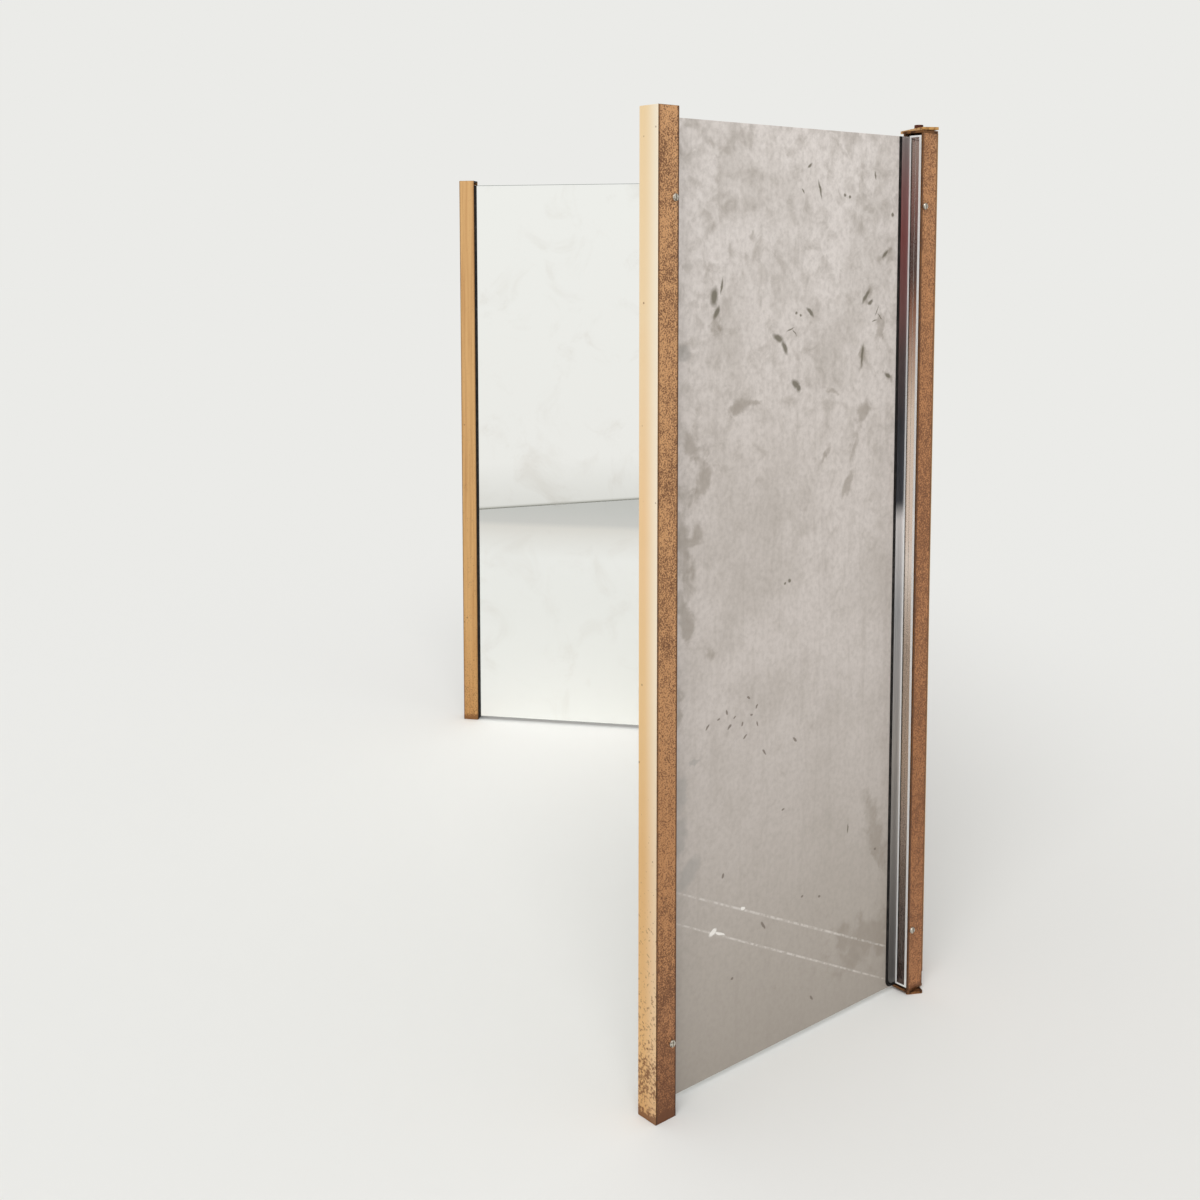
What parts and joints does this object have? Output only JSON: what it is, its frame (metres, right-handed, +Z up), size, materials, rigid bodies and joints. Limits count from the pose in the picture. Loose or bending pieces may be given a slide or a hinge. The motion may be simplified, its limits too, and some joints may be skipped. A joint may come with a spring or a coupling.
{
  "type": "folding mirror",
  "caption": "Standing folding mirror: a wide centre panel with a hinged wing on each side, glass held at its upright edges in square brass channels, grey backs.",
  "frame": {"origin": "on the floor, below the middle of the mirror's box as it stands with its wings folded forward", "axes": "+X to the right of someone facing the centre mirror, +Y from the mirror side to the back, +Z up"},
  "size_m": [1.0088, 0.3192, 0.7551],
  "materials": {
    "aged_brass": "aged, tarnished and spotted",
    "mirror_glass": "silvered float glass",
    "grey_back": "smudged semi-gloss grey",
    "edge_rubber": "black, matt",
    "chrome_trim": "polished",
    "screw_steel": "nickel plated, worn",
    "pivot_bronze": "dark patina"
  },
  "bodies": {
    "centre": {"centre_back_sheet": "grey_back", "centre_left_channel": "aged_brass", "centre_left_clamp_strip": "chrome_trim", "centre_left_edge_seal": "edge_rubber", "centre_left_lower_hinge_strap": "aged_brass", "centre_left_lower_washer": "pivot_bronze", "centre_left_retainer": "chrome_trim", "centre_left_screws": "screw_steel", "centre_left_upper_hinge_strap": "aged_brass", "centre_left_upper_washer": "pivot_bronze", "centre_mirror_pane": "mirror_glass", "centre_right_channel": "aged_brass", "centre_right_clamp_strip": "chrome_trim", "centre_right_edge_seal": "edge_rubber", "centre_right_lower_hinge_strap": "aged_brass", "centre_right_lower_washer": "pivot_bronze", "centre_right_retainer": "chrome_trim", "centre_right_screws": "screw_steel", "centre_right_upper_hinge_strap": "aged_brass", "centre_right_upper_washer": "pivot_bronze"},
    "right_wing": {"right_wing_back_sheet": "grey_back", "right_wing_free_channel": "aged_brass", "right_wing_free_clamp_strip": "chrome_trim", "right_wing_free_edge_seal": "edge_rubber", "right_wing_free_retainer": "chrome_trim", "right_wing_hinge_channel": "aged_brass", "right_wing_hinge_clamp_strip": "chrome_trim", "right_wing_hinge_edge_seal": "edge_rubber", "right_wing_hinge_retainer": "chrome_trim", "right_wing_lower_end_cap": "edge_rubber", "right_wing_lower_hinge_plate": "aged_brass", "right_wing_lower_pivot_pin": "pivot_bronze", "right_wing_mirror_pane": "mirror_glass", "right_wing_screws": "screw_steel", "right_wing_upper_end_cap": "edge_rubber", "right_wing_upper_hinge_plate": "aged_brass", "right_wing_upper_pivot_pin": "pivot_bronze"},
    "left_wing": {"left_wing_back_sheet": "grey_back", "left_wing_free_channel": "aged_brass", "left_wing_free_clamp_strip": "chrome_trim", "left_wing_free_edge_seal": "edge_rubber", "left_wing_free_retainer": "chrome_trim", "left_wing_hinge_channel": "aged_brass", "left_wing_hinge_clamp_strip": "chrome_trim", "left_wing_hinge_edge_seal": "edge_rubber", "left_wing_hinge_retainer": "chrome_trim", "left_wing_lower_end_cap": "edge_rubber", "left_wing_lower_hinge_plate": "aged_brass", "left_wing_lower_pivot_pin": "pivot_bronze", "left_wing_mirror_pane": "mirror_glass", "left_wing_screws": "screw_steel", "left_wing_upper_end_cap": "edge_rubber", "left_wing_upper_hinge_plate": "aged_brass", "left_wing_upper_pivot_pin": "pivot_bronze"}
  },
  "joints": [
    {"name": "right_wing_fold", "type": "hinge", "parent": "centre", "child": "right_wing", "pos_m": [0.33281, 0.13675, 0.375], "axis": [0, 0, -1], "range_deg": [-61.5, 114.5]},
    {"name": "left_wing_fold", "type": "hinge", "parent": "centre", "child": "left_wing", "pos_m": [-0.36219, 0.13675, 0.375], "axis": [0, 0, 1], "range_deg": [-67.5, 108.5]}
  ]
}
